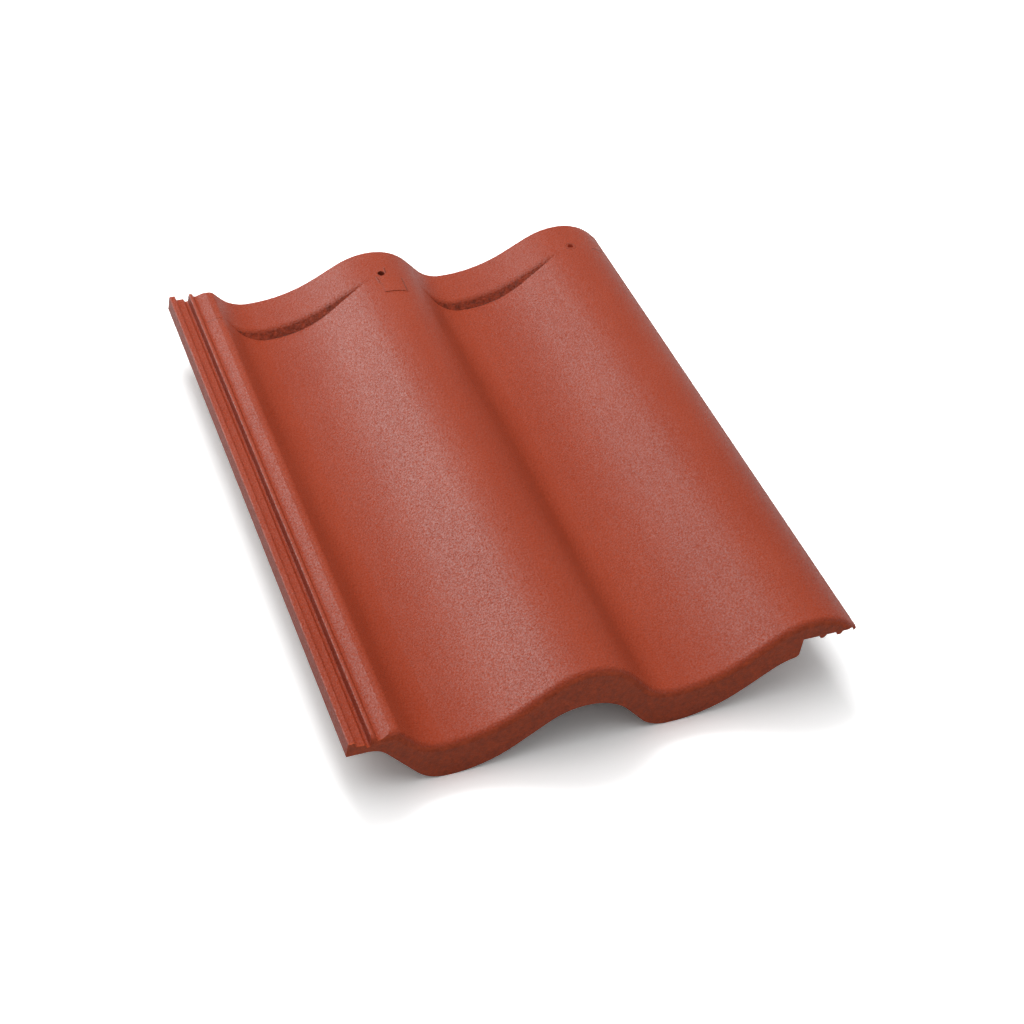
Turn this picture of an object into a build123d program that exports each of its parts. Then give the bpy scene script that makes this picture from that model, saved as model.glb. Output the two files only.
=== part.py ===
from build123d import *
import math
import os

# Interlocking roof tile with a double wave, one solid.
# The section is drawn with X across the tile from the outer edge of the side lock
# and Z up from the level that the feet and nibs stand on.
# Y runs from the tail, the lower edge on a roof, to the head.

# Driving dimensions: millimetres, and degrees for angles

tile_length = 420.0
body_thickness = 12.0

# The wave: a long gentle flank up to each crest and a short steep one down from it
wave_count = 2
wave_pitch = 147.5
crest_radius = 38.0
steep_valley_radius = 26.0
steep_angle = 50.0
gentle_angle = 36.0

# The side lock along the left edge: outer rib, shelf, groove, second rib, channel, bead
lock_top_height = 49.2
lock_thickness = 10.2
outer_edge_slope = 1.0
outer_rib_width = 4.0
shelf_width = 5.2
shelf_drop = 3.6
groove_width = 2.0
groove_depth = 6.0
second_rib_width = 2.2
channel_width = 1.6
channel_depth = 2.6
channel_rise_width = 6.75
rib_slope_width = 0.9
lock_edge_radius = 0.8
bead_radius = 5.0
bead_shoulder_width = 2.0

# The overlap along the right edge, which covers the lock of the next tile
overlap_thickness = 14.3
overlap_radius = 40.0
overlap_angle = 43.0
nose_height = 0.9
overlap_side_gap = 5.0
lock_clearance = 1.0
ridge_width = 2.4
ridge_height = 2.4
ridge_slope_width = 1.4

# The feet under the tail
tail_height = 28.5
foot_crest_drop = 0.5
foot_side_gap = 4.0
foot_shoulder_radius = 15.0
foot_corner = 5.0
foot_rib_count = 3
foot_rib_width = 11.0
foot_rib_pitch = 21.0

# The raised valleys at the head, which the feet of the tile above rest on
head_lip_from_head = 29.0
head_rise = 5.5
head_step_angle = 44.0
head_lip_width = 6.0
head_lip_facets = 4
head_gentle_angle = 31.0
head_crest_radius = 50.0
head_steep_angle = 46.0

# The nibs under the head
nib_from_head = 22.0
nib_width = 34.0
nib_thickness = 15.0
nib_back_slope = 15.0

# The nail hole in the first crest and the blind mark in the last one
nail_hole_radius = 2.6
nail_hole_from_head = 27.0
blind_mark_radius = 2.2
blind_mark_depth = 2.5

# The pad that the mould leaves below the nail hole
pad_width = 17.0
pad_length = 17.0
pad_height = 0.4
pad_side_offset = 5.0
pad_hole_gap = 4.5

# Moulded edges
tail_edge_radius = 4.5
head_edge_radius = 1.5

# Sizes that follow from the driving dimensions

cover_width = wave_count * wave_pitch
lock_underside = lock_top_height - lock_thickness
overlap_ceiling = lock_top_height + lock_clearance
crest_height = overlap_ceiling + overlap_thickness
wave_depth = crest_height - tail_height
overlap_inner_side = cover_width - overlap_side_gap
head_lip = tile_length - head_lip_from_head
hole_from_tail = tile_length - nail_hole_from_head


def flank_length(drop, radii, angle):
    """Straight length of a flank between two arcs whose radii add up to radii."""
    turn = math.radians(angle)
    return (drop - radii * (1 - math.cos(turn))) / math.sin(turn)


def flank_run(drop, radii, angle):
    """Distance across the tile that two arcs and the flank between them take."""
    turn = math.radians(angle)
    return radii * math.sin(turn) + flank_length(drop, radii, angle) * math.cos(turn)


class Outline:
    """Chain of straight lines and tangent arcs, drawn from a start point with a heading."""

    def __init__(self, x, z, heading=0.0):
        self.point = Vector(x, z)
        self.heading = heading
        self.edges = []

    def to(self, x, z):
        end = Vector(x, z)
        self.edges.append(Line(self.point, end))
        self.point = end

    def step(self, across, up):
        self.to(self.point.X + across, self.point.Y + up)

    def line(self, distance):
        turn = math.radians(self.heading)
        self.step(distance * math.cos(turn), distance * math.sin(turn))

    def arc(self, radius, turn):
        """Arc that turns the heading by turn degrees, to the left when positive."""
        angle = math.radians(self.heading)
        tangent = Vector(math.cos(angle), math.sin(angle))
        bend = JernArc(start=self.point, tangent=tangent, radius=radius, arc_size=turn)
        self.edges.append(bend)
        self.point = bend @ 1
        self.heading += turn

    def close(self):
        first = self.edges[0] @ 0
        self.to(first.X, first.Y)
        return make_face(self.edges)


class Wave:
    """One wave of a given depth and flank angles, repeated at the wave pitch."""

    def __init__(self, depth, gentle, steep, gentle_crest=crest_radius):
        self.depth = depth
        self.gentle = gentle
        self.steep = steep
        self.gentle_crest = gentle_crest

    def steep_run(self):
        """Distance across from a crest to the valley on its right."""
        return flank_run(self.depth, crest_radius + steep_valley_radius, self.steep)

    def wide_radius(self, run):
        """Radius of a valley's wide side that lets the gentle flank end on the next crest."""
        turn = math.radians(self.gentle)
        radii = (run - self.depth / math.tan(turn)) / math.tan(turn / 2)
        return radii - self.gentle_crest

    def rise(self, pen, run):
        """Wide arc, gentle flank and crest arc, up to the next crest."""
        wide = self.wide_radius(run)
        pen.arc(wide, self.gentle)
        pen.line(flank_length(self.depth, self.gentle_crest + wide, self.gentle))
        pen.arc(self.gentle_crest, -self.gentle)

    def fall(self, pen, first_radius=crest_radius, drop=None):
        """Arc, steep flank and narrow arc, down to the next valley."""
        drop = self.depth if drop is None else drop
        pen.arc(first_radius, -self.steep)
        pen.line(flank_length(drop, first_radius + steep_valley_radius, self.steep))
        pen.arc(steep_valley_radius, self.steep)

    def along(self, pen):
        """From the first valley, where the pen is, to the last crest."""
        self.rise(pen, first_crest - pen.point.X)
        for _ in range(wave_count - 1):
            self.fall(pen)
            self.rise(pen, wave_pitch - self.steep_run())

    def back_under(self, pen, depth_below):
        """From the last crest back to the first valley, parallel to the waves."""
        under_crest = crest_radius - depth_below
        under_steep = steep_valley_radius + depth_below
        under_wide = self.wide_radius(wave_pitch - self.steep_run()) + depth_below
        pen.heading = 180.0
        for wave in range(wave_count):
            pen.arc(under_crest, self.gentle)
            pen.line(flank_length(self.depth, under_crest + under_wide, self.gentle))
            pen.arc(under_wide, -self.gentle)
            pen.arc(under_steep, -self.steep)
            if wave < wave_count - 1:
                pen.line(flank_length(self.depth, under_crest + under_steep, self.steep))
                pen.arc(under_crest, self.steep)


body_wave = Wave(wave_depth, gentle_angle, steep_angle)
head_wave = Wave(
    wave_depth - head_rise, head_gentle_angle, head_steep_angle, head_crest_radius
)
foot_wave = Wave(wave_depth - foot_crest_drop, gentle_angle, steep_angle)

groove_middle = outer_edge_slope + outer_rib_width + rib_slope_width + shelf_width / 2
channel_start = (
    groove_middle + shelf_width / 2 + groove_width + second_rib_width + 3.5 * rib_slope_width
)
channel_end = channel_start + channel_width
bead_start = channel_end + channel_rise_width
bead_top = bead_start + bead_shoulder_width
first_valley = bead_top + flank_run(
    lock_top_height - tail_height, bead_radius + steep_valley_radius, steep_angle
)
first_crest = first_valley + wave_pitch - body_wave.steep_run()
last_crest = first_crest + (wave_count - 1) * wave_pitch


def draw_lock_top(pen):
    """Top of the side lock, from the outer edge to the top of the bead."""
    slope = rib_slope_width
    pen.to(outer_edge_slope, lock_top_height)
    pen.step(outer_rib_width, 0)
    pen.step(slope, -shelf_drop)
    pen.step(shelf_width, 0)
    pen.step(slope, shelf_drop - groove_depth)
    pen.step(groove_width, 0)
    pen.step(slope, groove_depth)
    pen.step(second_rib_width, 0)
    pen.step(slope * 1.5, -channel_depth)
    pen.step(channel_width, 0)
    pen.step(channel_rise_width, channel_depth)
    pen.step(bead_shoulder_width, 0)


def body_section():
    """Closed section of the lock and the waves, without the overlap."""
    pen = Outline(0, lock_underside)
    draw_lock_top(pen)
    body_wave.fall(pen, bead_radius, lock_top_height - tail_height)
    body_wave.along(pen)
    pen.step(0, -body_thickness)
    body_wave.back_under(pen, body_thickness)
    pen.line((lock_underside - pen.point.Y) / math.sin(math.radians(steep_angle)))
    section = pen.close()
    corners = [
        corner
        for corner in section.vertices()
        if corner.X < channel_end + rib_slope_width and corner.Y > lock_underside + lock_edge_radius
    ]
    return fillet(corners, lock_edge_radius)


def head_section():
    """Closed section of what the head adds: raised valleys down to inside the body."""
    core = body_thickness / 3
    pen = Outline(bead_start, lock_top_height - core)
    pen.to(bead_start, lock_top_height)
    pen.to(bead_top, lock_top_height)
    head_wave.fall(pen, bead_radius, lock_top_height - tail_height - head_rise)
    head_wave.along(pen)
    pen.step(0, -core)
    body_wave.back_under(pen, core)
    pen.line((lock_top_height - core - pen.point.Y) / math.sin(math.radians(steep_angle)))
    return pen.close()


def overlap_section():
    """Closed section of the overlap, with the ridges under it that enter the next lock."""
    core_height = crest_height - body_thickness / 2
    ridge_sole = overlap_ceiling - ridge_height
    pen = Outline(last_crest, crest_height)
    pen.arc(overlap_radius, -overlap_angle)
    pen.line((pen.point.Y - ridge_sole - nose_height) / math.sin(math.radians(overlap_angle)))
    pen.to(pen.point.X, ridge_sole)
    pen.step(-ridge_width, 0)
    pen.step(-ridge_slope_width, ridge_height)
    for middle in (channel_end, groove_middle):
        ridge_start = cover_width + middle + ridge_width / 2 + ridge_slope_width
        pen.to(ridge_start, overlap_ceiling)
        pen.step(-ridge_slope_width, -ridge_height)
        pen.step(-ridge_width, 0)
        pen.step(-ridge_slope_width, ridge_height)
    pen.to(overlap_inner_side, overlap_ceiling)
    pen.to(overlap_inner_side, core_height)
    pen.to(last_crest, core_height)
    return pen.close()


def foot_section():
    """Closed section of a foot rib, which nests on the head of the tile below."""
    turn = math.radians(steep_angle)
    core = body_thickness / 2
    inside_lock = lock_underside + lock_thickness / 4
    radii = foot_shoulder_radius + steep_valley_radius
    valley = first_valley + foot_side_gap
    start = valley - flank_run(lock_underside, radii, steep_angle)
    pen = Outline(start, lock_underside)
    foot_wave.fall(pen, foot_shoulder_radius, lock_underside)
    foot_wave.along(pen)
    pen.to(last_crest, crest_height - core)
    body_wave.back_under(pen, core)
    pen.line((inside_lock - pen.point.Y) / math.sin(turn))
    pen.to(start, inside_lock)
    return pen.close()


def along_tile(section, start, end):
    """Solid of a section between two distances from the tail."""
    return extrude(Plane.XZ.offset(-start) * section, amount=start - end)


def head_zone():
    """Raised valleys from the lip to the head, and the rounded step from the lip to the body."""
    section = head_section()
    zone = along_tile(section, head_lip, tile_length)
    facet = head_lip_width / head_lip_facets
    end = Vector(0, head_lip, 0)
    for number in range(head_lip_facets):
        slope = math.radians(head_step_angle * (number + 0.5) / head_lip_facets)
        length = facet / math.cos(slope)
        if number == head_lip_facets - 1:
            slope = math.radians(head_step_angle)
            length = (head_rise + end.Z) / math.sin(slope)
        way = Vector(0, -math.cos(slope), -math.sin(slope))
        face = Pos(0, end.Y, end.Z) * (Plane.XZ * section)
        zone += extrude(face, amount=length, dir=tuple(way))
        end += way * length
    return zone


def foot_ribs():
    """Foot ribs under the tail, cut off where the overlap begins, the lower corner broken."""
    end = Outline(0, 0)
    end.to(overlap_inner_side, 0)
    end.to(overlap_inner_side, crest_height)
    end.to(0, crest_height)
    foot_end_height = lock_underside - foot_corner / 2
    corner = Polyline(
        (overlap_inner_side, foot_end_height),
        (overlap_inner_side - foot_corner, foot_end_height - foot_corner),
        (overlap_inner_side - foot_corner, 0),
        (overlap_inner_side, 0),
        close=True,
    )
    section = (foot_section() & end.close()) - make_face(corner)
    ribs = []
    for number in range(foot_rib_count):
        start = number * foot_rib_pitch
        ribs.append(along_tile(section, start, start + foot_rib_width))
    return ribs


def nib(number):
    """Hanging nib under one valley: upright bearing face, sloping back, flat sole."""
    top = tail_height - body_thickness / 2
    back = nib_thickness + top * math.tan(math.radians(nib_back_slope))
    side = Polyline((0, 0), (nib_thickness, 0), (back, top), (0, top), close=True)
    left = first_valley + foot_side_gap + number * wave_pitch - nib_width / 2
    bearing = tile_length - nib_from_head
    profile = Plane(origin=(left, bearing, 0), x_dir=(0, 1, 0), z_dir=(1, 0, 0))
    return extrude(profile * make_face(side), amount=nib_width)


def pad():
    """Low pad on the first crest, below the nail hole, level with the crest's own curve."""
    left = first_crest + pad_side_offset - pad_width / 2
    window = Outline(left, crest_height - body_thickness)
    window.step(pad_width, 0)
    window.step(0, 2 * body_thickness)
    window.step(-pad_width, 0)
    section = (Pos(0, pad_height) * body_section()) & window.close()
    end = hole_from_tail - pad_hole_gap
    return along_tile(section, end - pad_length, end)


def top_edges(tile, y, inward):
    """Edges of the waves' top surface on the end plane at y; the tile lies on its inward side."""
    found = []
    for edge in tile.edges():
        box = edge.bounding_box()
        middle = edge @ 0.5
        on_end = abs(box.min.Y - y) < 1e-4 and abs(box.max.Y - y) < 1e-4
        if not on_end or middle.X < bead_top:
            continue
        below = tile.is_inside(middle + Vector(0, inward, -1))
        above = tile.is_inside(middle + Vector(0, inward, 1))
        if below and not above:
            found.append(edge)
    return found


def roof_tile():
    tile = along_tile(body_section(), 0, tile_length) + head_zone()
    tile += along_tile(overlap_section(), 0, tile_length)
    tile += pad()
    for rib in foot_ribs():
        tile += rib
    for number in range(wave_count):
        tile += nib(number)
    tile = fillet(top_edges(tile, 0, 1), tail_edge_radius)
    tile = fillet(top_edges(tile, tile_length, -1), head_edge_radius)
    hole = Cylinder(nail_hole_radius, 3 * body_thickness)
    mark = Cylinder(blind_mark_radius, 2 * blind_mark_depth)
    tile -= Pos(first_crest, hole_from_tail, crest_height) * hole
    return tile - Pos(last_crest, hole_from_tail, crest_height) * mark


tile = roof_tile()
overall_width = tile.bounding_box().max.X
tile = Pos(-overall_width / 2, -tile_length / 2, 0) * tile

os.makedirs("parts", exist_ok=True)
export_step(tile, "parts/roof_tile.step")
print("overall width", round(overall_width, 2), "cover width", cover_width)
print("valley", round(first_valley, 2), "crest", round(first_crest, 2))
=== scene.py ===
import logging
import math
from dataclasses import dataclass, field
from enum import Enum
from typing import Any, Iterable, Mapping, NamedTuple, Optional, Union

import bpy
import numpy as np
from mathutils import Matrix, Vector


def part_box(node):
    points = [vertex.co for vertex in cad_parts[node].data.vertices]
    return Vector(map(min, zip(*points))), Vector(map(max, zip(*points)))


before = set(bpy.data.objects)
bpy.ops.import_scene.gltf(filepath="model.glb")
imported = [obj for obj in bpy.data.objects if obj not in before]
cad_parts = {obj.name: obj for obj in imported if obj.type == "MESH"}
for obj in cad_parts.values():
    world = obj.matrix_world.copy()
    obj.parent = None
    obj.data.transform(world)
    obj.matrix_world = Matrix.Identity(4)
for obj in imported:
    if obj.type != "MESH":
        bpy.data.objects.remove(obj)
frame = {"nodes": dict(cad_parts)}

LOG = logging.getLogger("roof_tile")
MM = 0.001

Number = Union[int, float]
Pair = tuple[float, float]
Colour = tuple[float, float, float]
Paint = Union[Colour, bpy.types.NodeSocket]

# The Mix node's colour sockets go by number, because others share their names
MIX_AMOUNT, MIX_LOW, MIX_HIGH = 0, 6, 7
MIX_RESULT = 2


class Region(Enum):
    """The parts of the tile's surface whose finish isn't the plain coat. On the riser of the head's step
    that is a rougher relief and painted shade.
    """

    CAST_FACE = "cast face"
    UNDERSIDE = "underside"
    RISER = "riser of the head's step"


class Reach(Enum):
    """What a lamp lights: the matt light alone, or the sheen alone."""

    MATT = "matt"
    SHEEN = "sheen"


class Shade:
    """A number that varies over a surface, held as a node socket, with ordinary arithmetic."""

    def __init__(self, graph: "Graph", socket: bpy.types.NodeSocket) -> None:
        """Wraps a socket.

        Args:
            graph: The graph that the socket's node belongs to.
            socket: The output socket to wrap.
        """
        self.graph = graph
        self.socket = socket

    def _math(self, operation: str, *values: Any) -> "Shade":
        """Runs one Math node on the given values, in their order."""
        made = self.graph.node("ShaderNodeMath", {"operation": operation}, dict(enumerate(values)))
        return Shade(self.graph, made.outputs[0])

    def __add__(self, other: Any) -> "Shade":
        """Sum of both."""
        return self._math("ADD", self, other)

    def __radd__(self, other: Any) -> "Shade":
        """Sum of both, with the plain number first."""
        return self._math("ADD", other, self)

    def __sub__(self, other: Any) -> "Shade":
        """Difference of both."""
        return self._math("SUBTRACT", self, other)

    def __rsub__(self, other: Any) -> "Shade":
        """Difference of both, with the plain number first."""
        return self._math("SUBTRACT", other, self)

    def __mul__(self, other: Any) -> "Shade":
        """Product of both."""
        return self._math("MULTIPLY", self, other)

    def __rmul__(self, other: Any) -> "Shade":
        """Product of both, with the plain number first."""
        return self._math("MULTIPLY", other, self)

    def __abs__(self) -> "Shade":
        """The value without its sign."""
        return self._math("ABSOLUTE", self)

    def root(self) -> "Shade":
        """The square root."""
        return self._math("SQRT", self)

    def at_least(self, other: Any) -> "Shade":
        """The larger of both."""
        return self._math("MAXIMUM", self, other)

    def at_most(self, other: Any) -> "Shade":
        """The smaller of both."""
        return self._math("MINIMUM", self, other)

    def within_one(self) -> "Shade":
        """The value, held between 0 and 1."""
        return self.at_least(0.0).at_most(1.0)

    def step(self, zero: Number, one: Number) -> "Shade":
        """Smooth step between two values: an S curve, level beyond them.

        Args:
            zero: Value where the step is 0.
            one: Value where the step is 1. It may be under zero, for a falling step.

        Returns:
            The step, from 0 to 1.
        """
        made = self.graph.node(
            "ShaderNodeMapRange",
            {"interpolation_type": "SMOOTHSTEP", "clamp": True},
            {"Value": self, "From Min": zero, "From Max": one, "To Min": 0.0, "To Max": 1.0},
        )
        return Shade(self.graph, made.outputs[0])


@dataclass(frozen=True)
class Cloud:
    """Cloudy noise: the length of one cloud, in metres, and how it is made finer.

    Each finer layer is as strong as the one before times finer, and a cloud is longer along
    the tile than across where squeeze is under 1.
    """

    size: float
    layers: float
    finer: float
    squeeze: float = 1.0


class Graph:
    """The node tree of one material."""

    def __init__(self, tree: bpy.types.NodeTree) -> None:
        """Empties the tree.

        Args:
            tree: The material's own node tree.
        """
        tree.nodes.clear()
        self.tree = tree

    def node(
        self,
        kind: str,
        settings: Optional[Mapping[str, Any]] = None,
        inputs: Optional[Mapping[Any, Any]] = None,
    ) -> bpy.types.Node:
        """Adds a node.

        Args:
            kind: Blender's type name of the node.
            settings: Properties to set on the node.
            inputs: Socket names or numbers, each with a value, a Shade or a socket.

        Returns:
            The new node.
        """
        made = self.tree.nodes.new(kind)
        for name, value in (settings or {}).items():
            setattr(made, name, value)
        for name, value in (inputs or {}).items():
            source = value.socket if isinstance(value, Shade) else value
            if isinstance(source, bpy.types.NodeSocket):
                self.tree.links.new(source, made.inputs[name])
            else:
                made.inputs[name].default_value = source
        return made

    def parts(self, vector: bpy.types.NodeSocket) -> tuple[Shade, Shade, Shade]:
        """The three coordinates of a vector."""
        made = self.node("ShaderNodeSeparateXYZ", None, {0: vector})
        return tuple(Shade(self, socket) for socket in made.outputs)

    def noise(self, point: bpy.types.NodeSocket, cloud: Cloud) -> Shade:
        """Cloudy noise about 0, from -1 to 1.

        Args:
            point: Point to read it at.
            cloud: Size and make of the clouds.

        Returns:
            The noise.
        """
        squeezed = self.node(
            "ShaderNodeVectorMath", {"operation": "MULTIPLY"}, {0: point, 1: (1.0, cloud.squeeze, 1.0)}
        )
        made = self.node(
            "ShaderNodeTexNoise",
            None,
            {
                "Vector": squeezed.outputs[0],
                "Scale": 1 / cloud.size,
                "Detail": cloud.layers,
                "Roughness": cloud.finer,
            },
        )
        return (Shade(self, made.outputs["Fac"]) - 0.5) * 2.0

    def cells(self, point: bpy.types.NodeSocket, size: float) -> Shade:
        """Distance to the nearest of many scattered points, in cell sizes."""
        made = self.node("ShaderNodeTexVoronoi", None, {"Vector": point, "Scale": 1 / size})
        return Shade(self, made.outputs["Distance"])

    def blend(self, amount: Shade, low: Paint, high: Paint) -> bpy.types.NodeSocket:
        """Colour from low to high by amount, which is held between 0 and 1.

        Args:
            amount: Share of high.
            low: Colour, or the socket of one.
            high: Colour, or the socket of one.

        Returns:
            The mixed colour's socket.
        """
        made = self.node(
            "ShaderNodeMix",
            {"data_type": "RGBA", "clamp_factor": True},
            {MIX_AMOUNT: amount, MIX_LOW: opaque(low), MIX_HIGH: opaque(high)},
        )
        return made.outputs[MIX_RESULT]


def opaque(paint: Paint) -> Any:
    """A plain colour with full cover added, and a socket as it is."""
    return (*paint, 1.0) if isinstance(paint, tuple) else paint


def distance(x: Shade, y: Shade, middle: Pair) -> Shade:
    """Distance from a point on the top, in metres, as seen from above.

    Args:
        x: Place across the tile, in metres.
        y: Place along the tile, in metres.
        middle: The point, in millimetres.

    Returns:
        The distance.
    """
    across = x - middle[0] * MM
    along = y - middle[1] * MM
    return (across * across + along * along).root()


@dataclass(frozen=True)
class MouldLine:
    """Thin straight line that the mould left on the top. Lengths are in millimetres."""

    start: Pair
    end: Pair
    width: float
    height: float

    def relief(self, x: Shade, y: Shade) -> Shade:
        """Height of the line over the surface, in metres.

        Args:
            x: Place across the tile, in metres.
            y: Place along the tile, in metres.

        Returns:
            The full height on the line, falling to 0 at half the width to each side.
        """
        run = (self.end[0] - self.start[0], self.end[1] - self.start[1])
        length = math.hypot(*run)
        turn = (run[0] / length, run[1] / length)
        from_x = x - self.start[0] * MM
        from_y = y - self.start[1] * MM
        along = from_x * turn[0] + from_y * turn[1]
        across = abs(from_y * turn[0] - from_x * turn[1])
        beyond = abs(along - length / 2 * MM) - length / 2 * MM
        side = self.width / 2 * MM
        return across.step(side, 0.0) * beyond.step(side, 0.0) * (self.height * MM)


@dataclass(frozen=True)
class MouldRing:
    """Thin ring that the mould left around a point on the top. Lengths are in millimetres."""

    middle: Pair
    radius: float
    width: float
    height: float

    def relief(self, x: Shade, y: Shade) -> Shade:
        """Height of the ring over the surface, in metres.

        Args:
            x: Place across the tile, in metres.
            y: Place along the tile, in metres.

        Returns:
            The full height on the circle, falling to 0 at half the width to each side.
        """
        from_circle = abs(distance(x, y, self.middle) - self.radius * MM)
        return from_circle.step(self.width / 2 * MM, 0.0) * (self.height * MM)


class Spot(NamedTuple):
    """The point that is shaded: where it is, and how far the surface faces head and sky."""

    point: bpy.types.NodeSocket
    x: Shade
    y: Shade
    z: Shade
    from_tail: Shade
    from_head: Shade
    facing_head: Shade
    facing_up: Shade


class Patterns(NamedTuple):
    """The patterns of coat and concrete at a point, each about 0 and from -1 to 1."""

    grain: Shade
    fine: Shade
    mottle: Shade
    streak: Shade
    coarse: Shade
    swell: Shade


@dataclass(frozen=True)
class Mixture:
    """A plain amount, and the weights of the patterns that are added to it."""

    base: float
    grain: float = 0.0
    mottle: float = 0.0
    streak: float = 0.0
    coarse: float = 0.0

    def over(self, patterns: Patterns) -> Shade:
        """The base plus each pattern times its weight, without those of no weight.

        Args:
            patterns: The patterns at the point.

        Returns:
            The sum.
        """
        weights = {
            "grain": self.grain,
            "mottle": self.mottle,
            "streak": self.streak,
            "coarse": self.coarse,
        }
        terms = (getattr(patterns, name) * weight for name, weight in weights.items() if weight)
        return sum(terms, self.base)


@dataclass(frozen=True)
class CoatedConcrete:
    """Red satin coat over pressed concrete, bare and rougher under the tile.

    Sizes are in metres, save for the places of mould marks, which are in millimetres.
    Colours are linear. The steps between two finishes are pairs: the value where the finish
    starts, and the one where it is full.
    """

    name: str = "coated_concrete"
    coat: Colour = (0.325, 0.043, 0.014)
    coat_pale: Colour = (0.370, 0.070, 0.034)
    coat_deep: Colour = (0.245, 0.029, 0.009)
    # painted shade: darker colour laid on the riser of the head's step and along the mould marks
    painted_shade_colour: Colour = (0.120, 0.019, 0.007)
    cast_face: Colour = (0.490, 0.080, 0.029)
    cast_face_deep: Colour = (0.240, 0.040, 0.016)
    bare: Colour = (0.300, 0.120, 0.085)
    bare_grey: Colour = (0.330, 0.250, 0.215)
    # painted light: paler colour inside the blind mark's hole, standing in for light in its shaded
    # hollow
    painted_light_in_hole: Colour = (0.500, 0.100, 0.050)

    pale_mix: Mixture = Mixture(0.28, grain=0.20, mottle=0.34, streak=0.16)
    pale_most: float = 0.75
    deep_mix: Mixture = Mixture(0.24, grain=-0.26, mottle=-0.50)
    deep_most: float = 0.6
    # how strong the painted shade on the riser is
    painted_riser_shade_mix: Mixture = Mixture(0.42, coarse=1.3)
    cast_face_mix: Mixture = Mixture(0.45, coarse=0.9)
    bare_mix: Mixture = Mixture(0.5, coarse=1.1)

    grain: Cloud = Cloud(1.5 * MM, 4.0, 0.62)
    fine: Cloud = Cloud(0.675 * MM, 2.0, 0.6)
    mottle: Cloud = Cloud(45 * MM, 3.0, 0.55, squeeze=0.45)
    streak: Cloud = Cloud(5 * MM, 2.0, 0.5, squeeze=0.04)
    coarse: Cloud = Cloud(3.2 * MM, 5.0, 0.6)
    swell: Cloud = Cloud(30 * MM, 1.0, 0.5, squeeze=0.6)
    glint: Cloud = Cloud(1.15 * MM, 2.0, 0.7)

    grain_height: float = 0.36 * MM
    fine_height: float = 0.144 * MM
    swell_height: float = 0.25 * MM
    coarse_height: float = 0.45 * MM
    riser_height: float = 0.36 * MM
    sand_size: float = 1.5 * MM
    sand_height: float = 0.28 * MM
    pore_size: float = 5 * MM
    pore_depth: float = 0.25 * MM
    pore_edge: Pair = (0.16, 0.02)
    edge_radius: float = 0.8 * MM

    roughness: Mixture = Mixture(0.36, grain=0.06, mottle=0.05)
    rough_part_roughness: float = 0.33
    gloss: float = 0.12
    sheen_share: float = 0.40
    sheen_spread: float = 1.6
    sheen_roughness: float = 0.57
    rough_part_dulling: float = 0.8

    face_from_tail: Pair = (1.6 * MM, 0.5 * MM)
    face_from_head: Pair = (0.5 * MM, 0.2 * MM)
    riser_facing: Pair = (-0.18, -0.68)
    riser_from_tail: Pair = (40 * MM, 60 * MM)
    underside_facing: Pair = (0.05, -0.25)
    wall_facing: Pair = (0.35, 0.15)
    wall_from_tail: Pair = (10 * MM, 14 * MM)
    wall_from_head: Pair = (1 * MM, 2 * MM)
    wall_below: Pair = (31 * MM, 29 * MM)
    cross_wall_facing: Pair = (0.90, 0.97)
    cross_wall_below: Pair = (50 * MM, 46 * MM)

    blind_mark: Pair = (131.43, 183.0)
    blind_mark_edge: Pair = (2.6 * MM, 2.3 * MM)
    blind_mark_below: Pair = (64.4 * MM, 64.0 * MM)
    # painted shade along the mould marks, per metre of their height
    mark_shade: float = 0.9 / MM
    marks: tuple[Union[MouldLine, MouldRing], ...] = (
        MouldLine((-146.0, 179.2), (-132.5, 178.4), 1.6, -0.35),
        MouldLine((149.5, 181.2), (161.5, 185.4), 2.0, -0.50),
        MouldLine((-12.6, 183.6), (-12.0, 188.8), 1.8, 0.60),
        MouldLine((-3.2, 163.5), (-2.6, 177.0), 2.2, 0.60),
        MouldLine((-20.3, 173.0), (-20.6, 180.0), 2.0, 0.45),
        MouldRing(blind_mark, 3.6, 1.6, 0.35),
    )

    def build(self, tail: float, head: float) -> bpy.types.Material:
        """Makes the material.

        Args:
            tail: Place of the tail face along the tile.
            head: Place of the head face along the tile.

        Returns:
            The material.
        """
        material = bpy.data.materials.new(self.name)
        material.use_nodes = True
        graph = Graph(material.node_tree)
        spot = self.spot(graph, tail, head)
        patterns = self.patterns(graph, spot.point)
        regions = self.regions(spot)
        rough_part = regions[Region.CAST_FACE].at_least(regions[Region.UNDERSIDE])
        marks = sum(mark.relief(spot.x, spot.y) for mark in self.marks) * (1 - rough_part)
        pores = graph.cells(spot.point, self.pore_size).step(*self.pore_edge)
        height = (
            marks
            + patterns.grain * self.grain_height
            + patterns.fine * self.fine_height
            - graph.cells(spot.point, self.sand_size) * self.sand_height
            + regions[Region.RISER] * patterns.coarse * self.riser_height
            + patterns.swell * self.swell_height
            + rough_part * patterns.coarse * self.coarse_height
            - rough_part * pores * self.pore_depth
        )
        worn = graph.node("ShaderNodeBevel", {"samples": 4}, {"Radius": self.edge_radius})
        bump = graph.node(
            "ShaderNodeBump",
            None,
            {"Strength": 1.0, "Distance": 1.0, "Height": height, "Normal": worn.outputs[0]},
        )
        glints = graph.noise(spot.point, self.glint)
        sheen = (self.sheen_share + self.sheen_spread * glints).within_one()
        shader = graph.node(
            "ShaderNodeBsdfPrincipled",
            None,
            {
                "Base Color": self.colour(graph, spot, patterns, regions, marks),
                "Roughness": self.roughness.over(patterns) + rough_part * self.rough_part_roughness,
                "Specular IOR Level": self.gloss,
                "Coat Weight": sheen * (1 - self.rough_part_dulling * rough_part),
                "Coat Roughness": self.sheen_roughness,
                "Normal": bump.outputs[0],
            },
        )
        graph.node("ShaderNodeOutputMaterial", None, {"Surface": shader.outputs[0]})
        return material

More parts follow.
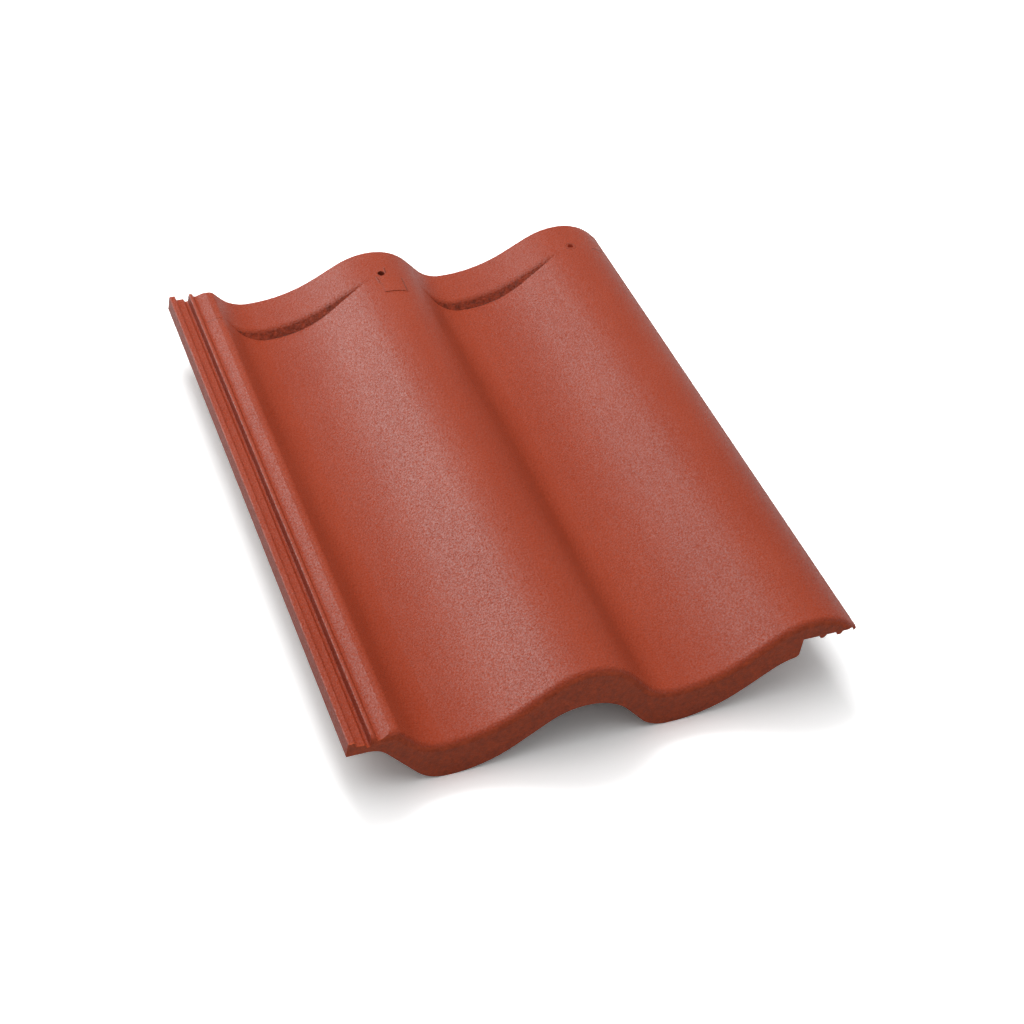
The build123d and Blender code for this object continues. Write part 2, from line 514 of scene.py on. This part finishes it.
    def spot(self, graph: Graph, tail: float, head: float) -> Spot:
        """Reads the point that is shaded.

        Args:
            graph: Graph to add the nodes to.
            tail: Place of the tail face along the tile.
            head: Place of the head face along the tile.

        Returns:
            The point, in the object's own coordinates, and which way the surface faces.
        """
        coordinates = graph.node("ShaderNodeTexCoord").outputs
        x, y, z = graph.parts(coordinates["Object"])
        _, facing_head, facing_up = graph.parts(coordinates["Normal"])
        return Spot(coordinates["Object"], x, y, z, y - tail, head - y, facing_head, facing_up)

    def patterns(self, graph: Graph, point: bpy.types.NodeSocket) -> Patterns:
        """Makes the patterns from their clouds.

        Args:
            graph: Graph to add the nodes to.
            point: The point that is shaded.

        Returns:
            The patterns.
        """
        return Patterns(
            grain=graph.noise(point, self.grain),
            fine=graph.noise(point, self.fine),
            mottle=graph.noise(point, self.mottle),
            streak=graph.noise(point, self.streak),
            coarse=graph.noise(point, self.coarse),
            swell=graph.noise(point, self.swell),
        )

    def regions(self, spot: Spot) -> dict[Region, Shade]:
        """Tells how far the point belongs to each region, from 0 to 1.

        The cast faces are those at the tail and the head. The underside takes what faces
        down, and the walls of nibs and foot ribs, which are upright and low or cross the tile.

        Args:
            spot: The point that is shaded.

        Returns:
            The share of each region.
        """
        cross_wall = abs(spot.facing_head).step(*self.cross_wall_facing) * spot.z.step(
            *self.cross_wall_below
        )
        inward = spot.from_tail.step(*self.wall_from_tail) * spot.from_head.step(*self.wall_from_head)
        upright = spot.facing_up.step(*self.wall_facing)
        wall = spot.z.step(*self.wall_below).at_least(cross_wall) * inward * upright
        tail_face = spot.from_tail.step(*self.face_from_tail)
        head_face = spot.from_head.step(*self.face_from_head)
        riser = spot.facing_head.step(*self.riser_facing)
        return {
            Region.CAST_FACE: tail_face.at_least(head_face),
            Region.UNDERSIDE: spot.facing_up.step(*self.underside_facing).at_least(wall),
            Region.RISER: riser * spot.from_tail.step(*self.riser_from_tail),
        }

    def colour(
        self,
        graph: Graph,
        spot: Spot,
        patterns: Patterns,
        regions: Mapping[Region, Shade],
        marks: Shade,
    ) -> bpy.types.NodeSocket:
        """Mixes the colour: the coat with painted shade on the step's riser and along the mould marks,
        then the cast faces, the underside, and painted light inside the blind mark.

        Args:
            graph: Graph to add the nodes to.
            spot: The point that is shaded.
            patterns: The patterns at the point.
            regions: The share of each region.
            marks: Height of the mould marks.

        Returns:
            The colour's socket.
        """
        pale = self.pale_mix.over(patterns).within_one() * self.pale_most
        deep = self.deep_mix.over(patterns).within_one() * self.deep_most
        # painted shade on the riser of the head's step, which faces away from the key lamp
        shaded = regions[Region.RISER] * self.painted_riser_shade_mix.over(patterns)
        coat = graph.blend(pale, self.coat, self.coat_pale)
        coat = graph.blend(deep, coat, self.coat_deep)
        coat = graph.blend(shaded, coat, self.painted_shade_colour)
        # painted shade along the mould marks, darker where they are taller or deeper
        coat = graph.blend(abs(marks) * self.mark_shade, coat, self.painted_shade_colour)
        face = graph.blend(self.cast_face_mix.over(patterns), self.cast_face, self.cast_face_deep)
        bare = graph.blend(self.bare_mix.over(patterns), self.bare, self.bare_grey)
        colour = graph.blend(regions[Region.CAST_FACE], coat, face)
        colour = graph.blend(regions[Region.UNDERSIDE], colour, bare)
        # painted light inside the blind mark's hole, paler to offset the shade in it
        in_mark = distance(spot.x, spot.y, self.blind_mark).step(*self.blind_mark_edge)
        in_mark = in_mark * spot.z.step(*self.blind_mark_below)
        return graph.blend(in_mark, colour, self.painted_light_in_hole)


@dataclass
class RoofTile:
    """The tile itself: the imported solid, with its finish."""

    node: str = "roof_tile"
    slot: str = "coated_concrete"
    finish: CoatedConcrete = field(default_factory=CoatedConcrete)

    def dress(self, nodes: Mapping[str, bpy.types.Object]) -> bpy.types.Object:
        """Gives the solid its finish.

        Args:
            nodes: The frame's nodes by name.

        Returns:
            The dressed solid.
        """
        solid = nodes[self.node]
        low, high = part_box(self.node)
        material = self.finish.build(low.y, high.y)
        solid.data.materials.clear()
        solid.data.materials.append(material)
        LOG.info("%s: %d faces", solid.name, len(solid.data.polygons))
        return solid


@dataclass(frozen=True)
class Softbox:
    """Square lamp that points at the tile. Power is in watts and lengths in metres."""

    name: str
    power: float
    size: float
    place: tuple[float, float, float]
    reach: Reach

    def build(self) -> bpy.types.Object:
        """Makes the lamp.

        Returns:
            The lamp.
        """
        light = bpy.data.lights.new(self.name, "AREA")
        light.energy = self.power
        light.size = self.size
        lamp = bpy.data.objects.new(self.name, light)
        lamp.location = self.place
        lamp.rotation_mode = "QUATERNION"
        lamp.rotation_quaternion = (-Vector(self.place)).to_track_quat("-Z", "Y")
        lamp.visible_diffuse = self.reach is Reach.MATT
        lamp.visible_glossy = self.reach is Reach.SHEEN
        bpy.context.scene.collection.objects.link(lamp)
        LOG.info("lamp %s: %.0f W, %s", self.name, self.power, self.reach.value)
        return lamp


@dataclass
class Studio:
    """Pale floor, white surroundings and soft lamps.

    The floor is small enough to be lit past white up to its edge, so it has no horizon.
    """

    floor_size: float = 2.0
    floor_points: int = 5
    floor_colour: Colour = (0.50, 0.50, 0.50)
    floor_seen: Colour = (1.36, 1.36, 1.36)
    ambient: float = 0.40
    lamps: tuple[Softbox, ...] = (
        Softbox("key", 24.0, 0.9, (-0.05, 1.15, 1.80), Reach.MATT),
        Softbox("top", 30.0, 2.4, (-0.5, 0.3, 2.1), Reach.MATT),
        Softbox("sheen", 71.0, 1.1, (-1.5, 1.43, 0.85), Reach.SHEEN),
    )

    def build(self) -> None:
        """Makes the floor, the world and the lamps."""
        self.floor()
        self.world()
        for lamp in self.lamps:
            lamp.build()

    def floor(self) -> bpy.types.Object:
        """Makes the floor: a flat square grid in two parameters at height 0.

        Returns:
            The floor.
        """
        steps = np.linspace(-self.floor_size / 2, self.floor_size / 2, self.floor_points)
        across, along = np.meshgrid(steps, steps)
        mesh = grid_mesh("floor", np.stack([across, along, across * 0], axis=-1))
        floor = bpy.data.objects.new("floor", mesh)
        bpy.context.scene.collection.objects.link(floor)
        material = bpy.data.materials.new("pale_floor")
        material.use_nodes = True
        graph = Graph(material.node_tree)
        matt = graph.node("ShaderNodeBsdfDiffuse", None, {"Color": opaque(self.floor_colour)})
        seen = graph.node("ShaderNodeBsdfDiffuse", None, {"Color": opaque(self.floor_seen)})
        ray = graph.node("ShaderNodeLightPath").outputs["Is Camera Ray"]
        mixed = graph.node("ShaderNodeMixShader", None, {0: ray, 1: matt.outputs[0], 2: seen.outputs[0]})
        graph.node("ShaderNodeOutputMaterial", None, {"Surface": mixed.outputs[0]})
        mesh.materials.append(material)
        LOG.info("floor: %d faces", len(mesh.polygons))
        return floor

    def world(self) -> None:
        """Makes white surroundings: full white where the camera sees them, softer as a light."""
        world = bpy.data.worlds.new("surroundings")
        bpy.context.scene.world = world
        world.use_nodes = True
        graph = Graph(world.node_tree)
        seen = Shade(graph, graph.node("ShaderNodeLightPath").outputs["Is Camera Ray"])
        strength = seen * (1.0 - self.ambient) + self.ambient
        background = graph.node(
            "ShaderNodeBackground", None, {"Color": opaque((1.0, 1.0, 1.0)), "Strength": strength}
        )
        graph.node("ShaderNodeOutputWorld", None, {"Surface": background.outputs[0]})


@dataclass
class Viewpoint:
    """Camera at the photograph's place. Angles are in degrees and lengths in metres."""

    place: tuple[float, float, float] = (-0.39292, -0.82800, 0.86110)
    turned: float = 26.653
    tipped: float = 43.294
    rolled: float = 8.087
    lens: float = 65.261
    sensor: float = 36.0

    def build(self) -> bpy.types.Object:
        """Makes the camera and sets it on the scene.

        It looks along the +Y axis, turned towards +X, tipped down, then rolled about its own
        line of sight. The lens and the sensor are in millimetres.

        Returns:
            The camera.
        """
        turned, tipped, rolled = (math.radians(a) for a in (self.turned, self.tipped, self.rolled))
        flat = Vector((math.sin(turned), math.cos(turned), 0.0))
        forward = flat * math.cos(tipped) - Vector((0.0, 0.0, math.sin(tipped)))
        level = Vector((math.cos(turned), -math.sin(turned), 0.0))
        upright = level.cross(forward)
        right = level * math.cos(rolled) + upright * math.sin(rolled)
        up = upright * math.cos(rolled) - level * math.sin(rolled)
        data = bpy.data.cameras.new("viewpoint")
        data.sensor_width = self.sensor
        data.lens = self.lens
        camera = bpy.data.objects.new("viewpoint", data)
        axes = Matrix((right, up, -forward)).transposed().to_4x4()
        camera.matrix_world = Matrix.Translation(Vector(self.place)) @ axes
        bpy.context.scene.collection.objects.link(camera)
        bpy.context.scene.camera = camera
        LOG.info("camera: lens %.1f mm", self.lens)
        return camera


def grid_mesh(name: str, points: np.ndarray) -> bpy.types.Mesh:
    """Makes a mesh of quads over a grid of points.

    Corner (i, j) of the grid is joined with (i, j+1), (i+1, j+1) and (i+1, j).

    Args:
        name: Name of the mesh.
        points: Array of rows, columns and the three coordinates.

    Returns:
        The mesh.
    """
    rows, columns = points.shape[:2]
    index = np.arange(rows * columns).reshape(rows, columns)
    corners = [index[:-1, :-1], index[:-1, 1:], index[1:, 1:], index[1:, :-1]]
    quads = np.stack([c.ravel() for c in corners], axis=1)
    mesh = bpy.data.meshes.new(name)
    mesh.from_pydata(points.reshape(-1, 3).tolist(), [], quads.tolist())
    mesh.update()
    return mesh


def main() -> None:
    """Dresses the tile and sets up the studio and the camera."""
    logging.basicConfig(level=logging.INFO)
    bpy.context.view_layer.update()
    RoofTile().dress(frame["nodes"])
    Studio().build()
    Viewpoint().build()
    bpy.context.scene.view_settings.view_transform = "Standard"


if __name__ == "__main__":
    main()
